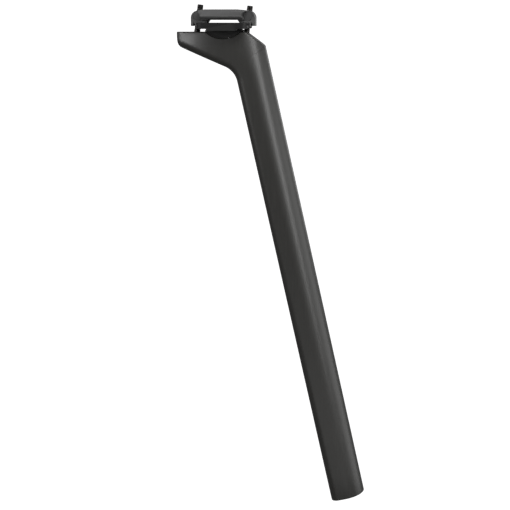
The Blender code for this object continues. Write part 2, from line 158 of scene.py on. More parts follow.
# Edges: how wide each piece's rounding is, the turn above which an edge is rounded, and the
# turns above which it is shaded as a sharp one
CRADLE_EDGE = 0.35
CLAMP_EDGE = 0.4
NUT_EDGE = 0.3
BEVEL_SEGMENTS = 2
BEVEL_ANGLE = radians(28)
SHARP_ANGLE = radians(38)
POST_SHARP_ANGLE = radians(50)
BOLT_SHARP_ANGLE = radians(35)

# Camera
CAMERA_DISTANCE = 968.0
CAMERA_TARGET_X = -77.6
CAMERA_Z = 386.5
CAMERA_PITCH = radians(10.9)
CAMERA_YAW = radians(4.5)
CAMERA_LENS_MM = 86.3
SENSOR_MM = 36.0

# Light, in metres and watts. Each softbox has a name, its azimuth from straight in front (-Y)
# towards +X, its distance, height, width, tallness and power, and the height it is aimed at.
WORLD_STRENGTH = 0.14
AIM_Z = 0.25
SOFTBOXES = (
    ("right_strip", radians(47), 1.25, 0.78, 0.3, 1.45, 13.0, AIM_Z),
    ("left_box", radians(-48), 1.3, 0.62, 0.7, 0.5, 8.5, 0.36),
    ("high_front", radians(22), 0.95, 1.25, 0.6, 0.4, 6.0, 0.36),
    ("side_fill", radians(92), 1.6, 0.1, 1.2, 1.2, 8.0, 0.05),
)
UNSEEN_SOFTBOXES = (
    ("back_left_fill", radians(215), 1.6, 0.7, 1.0, 1.2, 5.0, AIM_Z),
    ("back_right_fill", radians(150), 1.6, 0.7, 1.0, 1.2, 5.0, AIM_Z),
    ("low_front", radians(8), 0.5, -0.12, 0.6, 0.2, 0.30, 0.02),
)

# Studio sweep, in metres: its centre is the small disc that closes the floor
SWEEP_RADIUS = 3.2
SWEEP_BEND = 1.0
SWEEP_TOP = 3.4
SWEEP_FLOOR = -1.0
SWEEP_CENTRE = 0.01
SWEEP_BEND_STEPS = 12
SWEEP_SIDES = 96

UP = Vector((-sin(LEAN), cos(LEAN)))
FORWARD = Vector((cos(LEAN), sin(LEAN)))
INWARD = pi / 2 - UNDERSIDE_SLOPE


# ---------------------------------------------------------------- mesh helpers


ROD_SIDES = 64
# The most of an outline's side that one rounded corner may take, so that two never meet
CORNER_SHARE = 0.49


def object_from(mesh, name):
    """Turns a bmesh in millimetres into a named object with outward faces."""
    bmesh.ops.recalc_face_normals(mesh, faces=mesh.faces)
    bmesh.ops.scale(mesh, vec=(MM, MM, MM), verts=mesh.verts)
    data = bpy.data.meshes.new(name)
    mesh.to_mesh(data)
    mesh.free()
    item = bpy.data.objects.new(name, data)
    bpy.context.scene.collection.objects.link(item)
    return item


def pulled(name, outline, plane, low, high):
    """An outline pulled along the axis it leaves out: a side one along Y, a plan one along Z."""
    mesh = bmesh.new()
    if plane == "side":
        points = [(a, low, b) for a, b in outline]
        move = (0.0, high - low, 0.0)
    else:
        points = [(a, b, low) for a, b in outline]
        move = (0.0, 0.0, high - low)
    face = mesh.faces.new([mesh.verts.new(point) for point in points])
    grown = bmesh.ops.extrude_face_region(mesh, geom=[face])
    moved = [part for part in grown["geom"] if isinstance(part, bmesh.types.BMVert)]
    bmesh.ops.translate(mesh, verts=moved, vec=move)
    return object_from(mesh, name)


def skin(mesh, rings):
    """Joins rings of equally many points, closes the first and gives the last one's vertices."""
    loops = [[mesh.verts.new(point) for point in ring] for ring in rings]
    count = len(loops[0])
    for lower, upper in zip(loops, loops[1:]):
        for k in range(count):
            after = (k + 1) % count
            mesh.faces.new((lower[k], lower[after], upper[after], upper[k]))
    mesh.faces.new(loops[0])
    return loops[-1]


def loft(name, rings):
    """A closed skin over rings of equally many points, capped at both ends."""
    mesh = bmesh.new()
    mesh.faces.new(skin(mesh, rings))
    return object_from(mesh, name)


def rod(name, radius, low, high, segments=ROD_SIDES):
    """A cylinder along Z, or a prism with fewer sides."""
    mesh = bmesh.new()
    middle = Matrix.Translation((0.0, 0.0, (low + high) / 2.0))
    bmesh.ops.create_cone(mesh, cap_ends=True, segments=segments, radius1=radius, radius2=radius,
                          depth=high - low, matrix=middle)
    return object_from(mesh, name)


def stand(item, x, z, lean=0.0):
    """Leans a mesh about Y and moves it to (x, 0, z); its object stays at the origin."""
    place = Matrix.Translation((x * MM, 0.0, z * MM))
    item.data.transform(place @ Matrix.Rotation(lean, 4, "Y"))
    return item


def modified(item, kind, **settings):
    """Gives an object a modifier with its settings."""
    change = item.modifiers.new(kind.lower(), kind)
    for key, value in settings.items():
        setattr(change, key, value)


def baked(item):
    """Applies an object's modifiers to its mesh."""
    graph = bpy.context.evaluated_depsgraph_get()
    mesh = bpy.data.meshes.new_from_object(item.evaluated_get(graph))
    mesh.name = item.name
    item.modifiers.clear()
    item.data = mesh
    return item


def combined(item, operation, others):
    """One exact Boolean of an object with several solids, which are then deleted."""
    group = bpy.data.collections.new(item.name + "_" + operation.lower())
    bpy.context.scene.collection.children.link(group)
    for other in others:
        bpy.context.scene.collection.objects.unlink(other)
        group.objects.link(other)
    modified(item, "BOOLEAN", operation=operation, operand_type="COLLECTION", collection=group)
    baked(item)
    for other in others:
        bpy.data.objects.remove(other)
    bpy.data.collections.remove(group)


def softened(item, width):
    """Rounds the sharp edges and shades the rest smooth."""
    modified(item, "BEVEL", width=width * MM, segments=BEVEL_SEGMENTS, limit_method="ANGLE",
             angle_limit=BEVEL_ANGLE, use_clamp_overlap=True, harden_normals=False)
    baked(item)
    item.data.shade_smooth()
    item.data.set_sharp_from_angle(angle=SHARP_ANGLE)
    modified(item, "WEIGHTED_NORMAL", keep_sharp=True, weight=100)
    return baked(item)


def arc(centre, radius, start, end, steps):
    """Points on a circle from one angle to another, both ends included."""
    angles = [start + (end - start) * k / steps for k in range(steps + 1)]
    return [(centre[0] + radius * cos(a), centre[1] + radius * sin(a)) for a in angles]


def bend(start, middle, end, share):
    """A point on the curve that leaves start and reaches end, both times aimed at middle."""
    return start * (1 - share) ** 2 + middle * 2 * share * (1 - share) + end * share * share


def rounded_outline(points, radius, steps):
    """A closed outline with its corners rounded, each radius limited by its shorter side."""
    outline = []
    count = len(points)
    for k in range(count):
        here = Vector(points[k])
        before = Vector(points[k - 1]) - here
        after = Vector(points[(k + 1) % count]) - here
        turn = before.angle(after)
        reach = min(radius / tan(turn / 2), CORNER_SHARE * before.length,
                    CORNER_SHARE * after.length)
        start = here + before.normalized() * reach
        end = here + after.normalized() * reach
        outline += [tuple(bend(start, here, end, j / steps)) for j in range(steps + 1)]
    return outline


# ---------------------------------------------------------------- the post


# A section's points: round its back corner, along its side, over its rim and across its top
CORNER_STEPS = 10
SIDE_STEPS = 22
RIM_STEPS = 5
TOP_STEPS = 7
# Where the rim's and the top's points start on a section that isn't cut, as turns round the
# curve of its front
OPEN_RIM = radians(64)
OPEN_TOP = radians(74)
# A cut whose half width is below this has no rim, and a rim takes at most this share of it
LEAST_HALF_CUT = 0.35
RIM_SHARE = 0.45

# The line across the top of the head: steps round a corner and round the trough, how far it
# starts below the front corner and runs on past the end, and its rounding behind the trough
LINE_STEPS = 6
TROUGH_STEPS = 40
BELOW_FRONT = 30.0
PAST_REAR = 20.0
REAR_EDGE_REACH = 1.4

# The head's rings: up the front, along the facet, on the flat ahead of the trough, on the deck
# behind it, which they leave this far ahead of the end, and round the end
FRONT_RINGS = 12
FACET_RINGS = 9
FLAT_RINGS = 4
DECK_RINGS = 14
DECK_RINGS_END = 9.5
END_RINGS = 16

# The least step between two rings' places, how often a search for a place halves its range,
# and what counts as parallel or touching, and as uncut
LEAST_STEP = 0.003
HALVINGS = 40
TOUCHING = 1e-9
UNCUT = 1e-6


def armpit_centre():
    """The centre of the round between the tube's back and the overhang's underside."""
    inward = Vector((cos(INWARD), sin(INWARD)))
    from_tube = -DEPTH / 2 - ARMPIT_RADIUS
    from_underside = inward.dot(Vector(UNDERSIDE)) - ARMPIT_RADIUS
    across = FORWARD[0] * inward[1] - FORWARD[1] * inward[0]
    return Vector(((from_tube * inward[1] - from_underside * FORWARD[1]) / across,
                   (from_underside * FORWARD[0] - from_tube * inward[0]) / across))


ARMPIT = armpit_centre()
FAN_END = ARMPIT + Vector((cos(INWARD), sin(INWARD))) * ARMPIT_RADIUS
OUTWARD = Vector((-cos(UNDERSIDE_SLOPE), sin(UNDERSIDE_SLOPE)))
RUN = (FAN_END[0] - REAR_X) / cos(UNDERSIDE_SLOPE) - REAR_CORNER * tan(INWARD / 2)
ROUND_CENTRE = FAN_END + OUTWARD * RUN + Vector((cos(INWARD), sin(INWARD))) * REAR_CORNER


def fan_depth(turn):
    """From the armpit's round to the line of the tube's front, at a turn from square to it."""
    return (DEPTH + ARMPIT_RADIUS) / cos(turn) - ARMPIT_RADIUS


def tail_half_width(x):
    """The overhang's half width at x, closing in along a quarter of an ellipse."""
    share = min(1.0, (FAN_END[0] - x) / (FAN_END[0] - REAR_X))
    return REAR_HALF_WIDTH + (HALF_WIDTH - REAR_HALF_WIDTH) * sqrt(1.0 - share * share)


def station(place):
    """The head's section at a place.

    Places run from 0 to 1 round the armpit, to 2 along the underside and to 3 round the end. Gives
    the section's back point, its angle, depth, half width, back corner and widest point.
    """
    if place <= 1.0:
        angle = LEAN + (INWARD - LEAN) * place
        back = ARMPIT + Vector((cos(angle), sin(angle))) * ARMPIT_RADIUS
        return back, angle, fan_depth(angle - LEAN), HALF_WIDTH, BACK_CORNER, WIDEST
    first_depth = fan_depth(INWARD - LEAN)
    if place <= 2.0:
        part = place - 1.0
        depth = first_depth + (REAR_DEPTH - first_depth) * part
        widest = WIDEST + (REAR_WIDEST - WIDEST) * part
        back = FAN_END + OUTWARD * RUN * part
        return back, INWARD, depth, tail_half_width(back[0]), BACK_CORNER, widest
    part = min(place - 2.0, 1.0)
    angle = INWARD * (1.0 - part)
    back = ROUND_CENTRE - Vector((cos(angle), sin(angle))) * REAR_CORNER
    corner = BACK_CORNER + (REAR_BACK_CORNER - BACK_CORNER) * part
    turned = INWARD + UNDERSIDE_SLOPE * part
    return back, turned, REAR_DEPTH, tail_half_width(back[0]), corner, REAR_WIDEST


def ceiling():
    """The line across the top of the head: front corner, facet, deck, trough and deck again."""
    front = Vector((cos(FACET_SLOPE), -sin(FACET_SLOPE)))
    start = Vector((FACET_START_X, DECK_Z))
    to_edge = (DEPTH / 2 - start.dot(FORWARD)) / front.dot(FORWARD)
    corner = start + front * to_edge
    half_angle = acos((TILT_Z - DECK_Z) / TROUGH_RADIUS)
    trough = arc((TILT_X, TILT_Z), TROUGH_RADIUS, -pi / 2 + half_angle, -pi / 2 - half_angle,
                 TROUGH_STEPS)
    corners = [corner - UP * BELOW_FRONT, corner, start, Vector(trough[0]), Vector(trough[2])]
    line = []
    for k, radius in ((1, FRONT_CORNER), (2, EDGE_ROUND * 2), (3, EDGE_ROUND)):
        here = corners[k]
        to_before = (corners[k - 1] - here).normalized()
        to_after = (corners[k + 1] - here).normalized()
        turn = to_before.angle(to_after)
        reach = radius / tan(turn / 2)
        line += [bend(here + to_before * reach, here, here + to_after * reach, j / LINE_STEPS)
                 for j in range(LINE_STEPS + 1)]
    line += [Vector(point) for point in trough[2:-2]]
    edge = Vector(trough[-1])
    inner = Vector(trough[-3])
    outer = edge + Vector((-REAR_EDGE_REACH * EDGE_ROUND, 0.0))
    line += [bend(inner, edge, outer, share) for share in (0.2, 0.4, 0.6, 0.8, 1.0)]
    line.append(Vector((REAR_X - PAST_REAR, DECK_Z)))
    return [corners[0]] + line


CEILING = ceiling()


def ceiling_reach(back, angle, depth):
    """How far along a section's direction the head's top cuts it, at most its depth."""
    direction = Vector((cos(angle), sin(angle)))
    nearest = depth
    for a, b in zip(CEILING, CEILING[1:]):
        edge = b - a
        across = direction[0] * edge[1] - direction[1] * edge[0]
        if abs(across) < TOUCHING:
            continue
        gap = a - back
        along = (gap[0] * edge[1] - gap[1] * edge[0]) / across
        share = (gap[0] * direction[1] - gap[1] * direction[0]) / across
        if along > 0.0 and -TOUCHING <= share <= 1.0 + TOUCHING:
            nearest = min(nearest, along)
    return nearest


def place_under(target):
    """The place whose section passes through a point of the head's top."""
    low, high = 0.0, 3.0
    for _ in range(HALVINGS):
        middle = (low + high) / 2
        back, angle, *_ = station(middle)
        offset = Vector(target) - back
        if cos(angle) * offset[1] - sin(angle) * offset[0] > 0.0:
            low = middle
        else:
            high = middle
    return (low + high) / 2


def section(depth, half_width, corner, widest, reach):
    """One ring of the D, cut off flat at a reach from its back, with its rim rounded."""
    side = [(0.0, 0.0), (0.0, (half_width - corner) / 2), (0.0, half_width - corner)]
    for k in range(1, CORNER_STEPS + 1):
        turn = pi / 2 * k / CORNER_STEPS
        side.append((corner * (1.0 - cos(turn)), half_width - corner * (1.0 - sin(turn))))
    nose = depth - widest

    def on_curve(turn):
        return (widest + nose * sin(turn), half_width * cos(turn))

    cut = pi / 2
    if reach < depth - UNCUT:
        cut = asin(max(-1.0, min(1.0, (reach - widest) / nose)))
    rim_half = half_width * cos(cut)
    if rim_half < LEAST_HALF_CUT:
        rim, top = OPEN_RIM, OPEN_TOP
        if cut < pi / 2:
            rim, top = cut * OPEN_RIM / (pi / 2), cut * OPEN_TOP / (pi / 2)
        side += [on_curve(rim * k / SIDE_STEPS) for k in range(1, SIDE_STEPS + 1)]
        side += [on_curve(rim + (top - rim) * k / RIM_STEPS) for k in range(1, RIM_STEPS + 1)]
        side += [on_curve(top + (cut - top) * k / TOP_STEPS) for k in range(1, TOP_STEPS + 1)]
        side[-1] = (min(reach, depth), 0.0)
    else:
        rounding = min(RIM_ROUND, RIM_SHARE * rim_half)
        slope = hypot(nose * cos(cut), half_width * sin(cut))
        rim = cut - rounding / slope
        if rim > 0.0:
            side += [on_curve(rim * k / SIDE_STEPS) for k in range(1, SIDE_STEPS + 1)]
        else:
            first = side[-1]
            last = on_curve(rim)
            side += [(first[0] + (last[0] - first[0]) * k / SIDE_STEPS, last[1])
                     for k in range(1, SIDE_STEPS + 1)]
        start = Vector(side[-1])
        edge = Vector(on_curve(cut))
        end = edge + Vector((0.0, -rounding))
        side += [tuple(bend(start, edge, end, k / RIM_STEPS)) for k in range(1, RIM_STEPS + 1)]
        side += [(end[0], end[1] * (1.0 - k / TOP_STEPS)) for k in range(1, TOP_STEPS + 1)]
    return side + [(p, -q) for p, q in reversed(side[1:-1])]


def ring_at(back, angle, points):
    """A section laid from its back point at an angle in the side plane."""
    return [(back[0] + p * cos(angle), q, back[1] + p * sin(angle)) for p, q in points]


def tube_ring(along, inset):
    """The tube's section at a distance up its axis, or its bore's at an inset."""
    back = UP * along - FORWARD * (DEPTH / 2 - inset)
    depth = DEPTH - 2 * inset
    points = section(depth, HALF_WIDTH - inset, BACK_CORNER - inset, WIDEST - inset, depth)
    return ring_at(back, LEAN, points)


def head_ring(place):
    """The head's section at a place, cut off by its top."""
    back, angle, depth, half_width, corner, widest = station(place)
    reach = ceiling_reach(back, angle, depth)
    return ring_at(back, angle, section(depth, half_width, corner, widest, reach))


def head_places():
    """Where the head's rings go: evenly up the front, then under each point that shapes the top."""
    first = place_under(CEILING[1])
    places = [first * k / FRONT_RINGS for k in range(FRONT_RINGS)]
    targets = list(CEILING[1:-1])
    for corner, steps in ((1, FACET_RINGS), (2, FLAT_RINGS)):
        end = corner * (LINE_STEPS + 1)
        targets += [CEILING[end].lerp(CEILING[end + 1], k / steps) for k in range(1, steps)]
    last = CEILING[-2]
    rear = Vector((REAR_X + DECK_RINGS_END, DECK_Z))
    targets += [last.lerp(rear, k / DECK_RINGS) for k in range(1, DECK_RINGS)]
    places += [place_under(target) for target in targets]
    places += [2.0 + sin(pi / 2 * k / END_RINGS) for k in range(END_RINGS + 1)]
    places = sorted(place for place in places if place <= 3.0)
    kept = [places[0]]
    for place in places[1:]:
        if place - kept[-1] > LEAST_STEP:
            kept.append(place)
    return kept


def bolt_point(bolt_x, z):
    """Where a bolt's axis passes a height."""
    return bolt_x + (z - NUT_Z) * tan(BOLT_LEAN), z


def make_post():
    """The tube, its bore and the head as one skin, with the bolts' holes and pockets cut out."""
    inside = [tube_ring(along, WALL) for along in BORE_RINGS]
    rim = [tube_ring(END_ROUND * (1 - sin(a)), WALL - END_ROUND * (1 - cos(a)))
           for a in (pi / 6, pi / 3, pi / 2)]
    rim += [tube_ring(END_ROUND * (1 - cos(a)), END_ROUND * (1 - sin(a)))
            for a in (0.0, pi / 6, pi / 3, pi / 2)]
    tube = [tube_ring(along, 0.0) for along in TUBE_RINGS]
    head = [head_ring(place) for place in head_places()]
    post = loft("post_visual", inside + rim + tube + head)
    cutters = []
    seats = ((REAR_BOLT_X, REAR_PIVOT_Z, REAR_POCKET_LENGTH),
             (FRONT_BOLT_X, FRONT_PIVOT_Z, FRONT_POCKET_LENGTH))
    for bolt_x, pivot_z, length in seats:
        pivot = bolt_point(bolt_x, pivot_z)
        hole = rod("hole", POST_BOLT_HOLE, 0.0, 2 * TROUGH_RADIUS)
        cutters.append(stand(hole, *pivot, BOLT_LEAN))
        pocket = rod("pocket", POCKET_RADIUS, POCKET_TOP - length, POCKET_TOP)
        cutters.append(stand(pocket, *pivot, BOLT_LEAN))
    combined(post, "DIFFERENCE", cutters)
    post.data.shade_smooth()
    post.data.set_sharp_from_angle(angle=POST_SHARP_ANGLE)
    return post


# ---------------------------------------------------------------- the clamp


# Steps round the cradle's lower corners, its foot, its corners from above and a boss's top
LOBE_STEPS = 8
FOOT_STEPS = 64
PLAN_STEPS = 8
BOSS_STEPS = 24


def groove(side):
    """A saddle rail's round space, along the clamp."""
    cutter = rod("groove", RAIL_RADIUS, -2 * CLAMP_HALF_WIDTH, 2 * CLAMP_HALF_WIDTH)
    cutter.data.transform(Matrix.Rotation(pi / 2, 4, "Y"))
    cutter.data.transform(Matrix.Translation((TILT_X * MM, side * RAIL_SPREAD * MM, RAIL_Z * MM)))
    return cutter


def cradle_outline(round_foot):
    """The cradle from the side: flat on top and deeper in the middle, or with the round foot."""
    half = CRADLE_HALF_LENGTH
    corner = CRADLE_LOBE_CORNER
    ends = asin((TILT_Z - CRADLE_BOTTOM) / CRADLE_RADIUS)
    flat = CRADLE_ARCH - CRADLE_ARCH_SLANT
    outline = [(TILT_X + half, CRADLE_TOP), (TILT_X - half, CRADLE_TOP)]
    outline += arc((TILT_X - half + corner, CRADLE_LOBE + corner), corner, pi, 3 * pi / 2,
                   LOBE_STEPS)
    outline.append((TILT_X - CRADLE_ARCH, CRADLE_LOBE))
    if round_foot:
        outline += arc((TILT_X, TILT_Z), CRADLE_RADIUS, pi + ends, 2 * pi - ends, FOOT_STEPS)
    else:
        outline += [(TILT_X - flat, CRADLE_BOTTOM), (TILT_X + flat, CRADLE_BOTTOM)]
    outline.append((TILT_X + CRADLE_ARCH, CRADLE_LOBE))
    outline += arc((TILT_X + half - corner, CRADLE_LOBE + corner), corner, -pi / 2, 0.0,
                   LOBE_STEPS)
    return outline


def make_cradle():
    """The bar and its round foot, with the rails' grooves and the bolts' holes cut out."""
    cradle = pulled("cradle_visual", cradle_outline(False), "side", -CLAMP_HALF_WIDTH,
                    CLAMP_HALF_WIDTH)
    foot_half = HALF_WIDTH - CRADLE_FOOT_GAP
    foot = pulled("foot", cradle_outline(True), "side", -foot_half, foot_half)
    combined(cradle, "UNION", [foot])
    half = CRADLE_HALF_LENGTH
    square = [(half, CLAMP_HALF_WIDTH), (-half, CLAMP_HALF_WIDTH), (-half, -CLAMP_HALF_WIDTH),
              (half, -CLAMP_HALF_WIDTH)]
    plan = [(TILT_X + x, y) for x, y in rounded_outline(square, CRADLE_CORNER, PLAN_STEPS)]
    limit = pulled("plan", plan, "plan", DECK_Z - 2 * CRADLE_RADIUS, TILT_Z)
    combined(cradle, "INTERSECT", [limit])
    cutters = [groove(side) for side in (-1, 1)]
    for bolt_x in (REAR_BOLT_X, FRONT_BOLT_X):
        hole = rod("hole", CRADLE_BOLT_HOLE, -CRADLE_RADIUS, CRADLE_RADIUS)
        cutters.append(stand(hole, bolt_x, NUT_Z, BOLT_LEAN))
    combined(cradle, "DIFFERENCE", cutters)
    return softened(cradle, CRADLE_EDGE)


def boss_outline(bolt_x, side):
    """An end of the upper clamp, round over its barrel nut, with a hook below its outer side."""
    outer = bolt_x + side * BOSS_RADIUS
    start = 0.0 if side > 0 else pi
    top = arc((bolt_x, BOSS_CENTRE_Z), BOSS_RADIUS, start, start + side * pi / 2, BOSS_STEPS)
    inner = bolt_x - side * BOSS_REACH
    return [(outer, HOOK_BOTTOM), *top, (inner, CLAMP_SHOULDER), (inner, CLAMP_UNDERSIDE),
            (bolt_x - side * BOSS_FOOT_REACH, BOSS_FOOT_Z),
            (outer - side * HOOK_DEPTH, BOSS_FOOT_Z), (outer - side * HOOK_DEPTH, HOOK_BOTTOM)]


def notch_outline(bolt_x, side):
    """A three-cornered recess beside a hook's outer leg, open below."""
    leg = bolt_x + side * (BOSS_RADIUS - HOOK_LEG)
    far = leg - side * NOTCH_WIDTH
    low = HOOK_BOTTOM - NOTCH_WIDTH
    return [(leg, low), (leg, HOOK_BOTTOM),
            (leg - side * NOTCH_WIDTH / 3, HOOK_BOTTOM + NOTCH_HEIGHT), (far, HOOK_BOTTOM),
            (far, low)]


def clamp_plan():
    """The upper clamp's plate from above: a rectangle with its corners cut off."""
    outline = []
    for side_x, side_y in ((1, 1), (1, -1), (-1, -1), (-1, 1)):
        points = [(side_x * (CLAMP_WING - CLAMP_WING_CORNER), side_y * CLAMP_HALF_WIDTH),
                  (side_x * CLAMP_WING, side_y * (CLAMP_HALF_WIDTH - CLAMP_WING_CORNER))]
        outline += points if side_x == side_y else points[::-1]
    return [(TILT_X + x, y) for x, y in outline]


def lip_cutter(side):
    """The space below the upper clamp's side lip, with the bevel on the lip's lower edge."""
    past = CLAMP_HALF_WIDTH + PAST
    low = CLAMP_UNDERSIDE - PAST
    end_view = [(RAIL_SPREAD, low), (past, low), (past, CLAMP_LIP + CLAMP_LIP_BEVEL + PAST),
                (CLAMP_HALF_WIDTH - CLAMP_LIP_BEVEL, CLAMP_LIP), (RAIL_SPREAD, CLAMP_LIP)]
    lip = pulled("lip", end_view, "side", -CLAMP_WING - PAST, CLAMP_WING + PAST)
    lip.data.transform(Matrix.Rotation(side * pi / 2, 4, "Z"))
    lip.data.transform(Matrix.Translation((TILT_X * MM, 0.0, 0.0)))
    return lip


def make_clamp():
    """The plate and its two round ends, with grooves, nut bores, bolt holes and recesses."""
    wing = CLAMP_WING
    side_view = [(TILT_X + wing, CLAMP_SHOULDER), (TILT_X + CLAMP_PLATEAU, CLAMP_TOP),
                 (TILT_X - CLAMP_PLATEAU, CLAMP_TOP), (TILT_X - wing, CLAMP_SHOULDER),
                 (TILT_X - wing, CLAMP_UNDERSIDE), (TILT_X + wing, CLAMP_UNDERSIDE)]
    clamp = pulled("clamp_visual", side_view, "side", -CLAMP_HALF_WIDTH - PAST,
                   CLAMP_HALF_WIDTH + PAST)
    plan = pulled("plan", clamp_plan(), "plan", CLAMP_UNDERSIDE - PAST, CLAMP_TOP + PAST)
    combined(clamp, "INTERSECT", [plan])
    cutters = []
    for side in (-1, 1):
        cutters += [lip_cutter(side), groove(side)]
    combined(clamp, "DIFFERENCE", cutters)
    ends = ((REAR_BOLT_X, -1), (FRONT_BOLT_X, 1))
    bosses = [pulled("boss", boss_outline(bolt_x, side), "side", -BOSS_HALF_WIDTH, BOSS_HALF_WIDTH)
              for bolt_x, side in ends]
    combined(clamp, "UNION", bosses)
    cutters = []
    for bolt_x, side in ends:
        across = rod("across", NUT_HOLE, -CLAMP_HALF_WIDTH, CLAMP_HALF_WIDTH)
        across.data.transform(Matrix.Rotation(pi / 2, 4, "X"))
        cutters.append(stand(across, bolt_x, NUT_Z))
        down = rod("down", CLAMP_BOLT_HOLE, -CRADLE_RADIUS, CRADLE_RADIUS)
        cutters.append(stand(down, bolt_x, NUT_Z, BOLT_LEAN))
        inside = BOSS_HALF_WIDTH - NOTCH_DEPTH
        outside = BOSS_HALF_WIDTH + NOTCH_DEPTH
        for low, high in ((-outside, -inside), (inside, outside)):
            cutters.append(pulled("notch", notch_outline(bolt_x, side), "side", low, high))
    combined(clamp, "DIFFERENCE", cutters)
    return softened(clamp, CLAMP_EDGE)


# ---------------------------------------------------------------- bolts and nuts


# Points round a bolt, and rows of them in one turn of its thread
BOLT_SIDES = 32
TURN_ROWS = 8
# The thread's ridge in one turn: its height at mid-turn before it is cut flat, and its slope
RIDGE_PEAK = 1.6
RIDGE_SLOPE = 3.2


def on_bolt(radius, k, height):
    """The k-th point round a bolt's axis, at a radius and a height."""
    return radius * cos(2 * pi * k / BOLT_SIDES), radius * sin(2 * pi * k / BOLT_SIDES), height


def thread_radius(k, height, fade, to_tip):
    """How far out the thread is: it runs in over its first turn and is chamfered at its tip."""
    turn = (height / THREAD_PITCH - k / BOLT_SIDES) % 1.0
    ridge = min(1.0, max(0.0, RIDGE_PEAK - RIDGE_SLOPE * abs(turn - 0.5)))
    radius = BOLT_RADIUS - THREAD_DEPTH * fade * (1.0 - ridge)
    return min(radius, BOLT_RADIUS - BOLT_TIP_CHAMFER + to_tip)


def make_bolt(name, bolt_x, pivot_z, tip_z):
    """A socket-head bolt with a real helical thread over its upper stretch."""
    tip = (tip_z - pivot_z) / cos(BOLT_LEAN)
    head_low = BOLT_HEAD_TOP - BOLT_HEAD_HEIGHT
    profile = [(BOLT_HEAD_RADIUS - BOLT_HEAD_ROUND, head_low),
               (BOLT_HEAD_RADIUS - BOLT_ROUND_MIDDLE, head_low + BOLT_ROUND_MIDDLE),
               (BOLT_HEAD_RADIUS, head_low + BOLT_HEAD_ROUND),
               (BOLT_HEAD_RADIUS, BOLT_HEAD_TOP - BOLT_NECK_CHAMFER),
               (BOLT_HEAD_RADIUS - BOLT_NECK_CHAMFER, BOLT_HEAD_TOP),
               (BOLT_RADIUS + BOLT_NECK_CHAMFER, BOLT_HEAD_TOP),
               (BOLT_RADIUS, BOLT_HEAD_TOP + BOLT_NECK_CHAMFER)]
    rings = [[on_bolt(radius, k, height) for k in range(BOLT_SIDES)] for radius, height in profile]
    start = max(BOLT_HEAD_TOP + BOLT_LEAST_PLAIN, tip - THREAD_LENGTH)
    steps = round((tip - start) / THREAD_PITCH * TURN_ROWS)
    for row in range(steps + 1):
        height = start + (tip - start) * row / steps
        fade = min(1.0, row / TURN_ROWS)
        rings.append([on_bolt(thread_radius(k, height, fade, tip - height), k, height)
                      for k in range(BOLT_SIDES)])
    item = loft(name, rings)
    corner = HEX_ACROSS_FLATS / 2 / cos(pi / 6)
    socket = rod("socket", corner, head_low - SOCKET_PAST, head_low + HEX_DEPTH, segments=6)
    combined(item, "DIFFERENCE", [socket])
    item.data.shade_smooth()
    item.data.set_sharp_from_angle(angle=BOLT_SHARP_ANGLE)
    return stand(item, *bolt_point(bolt_x, pivot_z), BOLT_LEAN)


def make_nut(name, bolt_x):
    """A barrel nut with its cross bore and softened edges."""
    nut = rod(name, NUT_RADIUS, -NUT_HALF_LENGTH, NUT_HALF_LENGTH)
    nut.data.transform(Matrix.Rotation(pi / 2, 4, "X"))
    combined(nut, "DIFFERENCE", [rod("bore", NUT_BORE, -2 * NUT_RADIUS, 2 * NUT_RADIUS)])
    softened(nut, NUT_EDGE)
    return stand(nut, bolt_x, NUT_Z, BOLT_LEAN)


# ---------------------------------------------------------------- materials


class Nodes:
    """A short way to write one procedural material."""

    def __init__(self, name):
        self.material = bpy.data.materials.new(name)
        self.material.use_nodes = True
        self.tree = self.material.node_tree
        self.shader = self.tree.nodes["Principled BSDF"]

    def add(self, kind, **settings):
        node = self.tree.nodes.new("ShaderNode" + kind)
        for key, value in settings.items():
            setattr(node, key, value)
        return node

    def link(self, source, target):
        self.tree.links.new(source, target)

    def coordinates(self, scale, rotation=(0.0, 0.0, 0.0)):
        where = self.add("TexCoord")
        mapping = self.add("Mapping")
        mapping.inputs["Scale"].default_value = scale
        mapping.inputs["Rotation"].default_value = rotation
        self.link(where.outputs["Object"], mapping.inputs["Vector"])
        return mapping.outputs["Vector"]

    def noise(self, vector, scale, detail=4.0, roughness=0.5):
        node = self.add("TexNoise")
        node.inputs["Scale"].default_value = scale
        node.inputs["Detail"].default_value = detail
        node.inputs["Roughness"].default_value = roughness
        self.link(vector, node.inputs["Vector"])
        return node.outputs["Fac"]

    def ramp(self, value, low, high, at):
        node = self.add("ValToRGB")
        node.color_ramp.elements[0].position = at[0]
        node.color_ramp.elements[1].position = at[1]
        node.color_ramp.elements[0].color = (*low, 1.0)
        node.color_ramp.elements[1].color = (*high, 1.0)
        self.link(value, node.inputs["Fac"])
        return node.outputs["Color"]

    def spread(self, value, low, high):
        node = self.add("MapRange")
        node.inputs["To Min"].default_value = low
        node.inputs["To Max"].default_value = high
        self.link(value, node.inputs["Value"])
        return node.outputs["Result"]

    def mixed(self, a, b, factor, blend="MIX"):
        node = self.add("Mix", data_type="RGBA", blend_type=blend)
        for index, value in ((6, a), (7, b)):
            if isinstance(value, tuple):
                node.inputs[index].default_value = (*value, 1.0)
            else:
                self.link(value, node.inputs[index])
        if isinstance(factor, float):
            node.inputs[0].default_value = factor
        else:
            self.link(factor, node.inputs[0])
        return node.outputs[2]

    def bump(self, height, strength, distance, before=None):
        node = self.add("Bump")
        node.inputs["Strength"].default_value = strength
        node.inputs["Distance"].default_value = distance
        self.link(height, node.inputs["Height"])
        if before is not None:
            self.link(before, node.inputs["Normal"])
        return node.outputs["Normal"]

    def set(self, **values):
        for key, value in values.items():
            socket = self.shader.inputs[key.replace("_", " ")]
            if hasattr(value, "is_output"):
                self.link(value, socket)
            else:
                socket.default_value = value


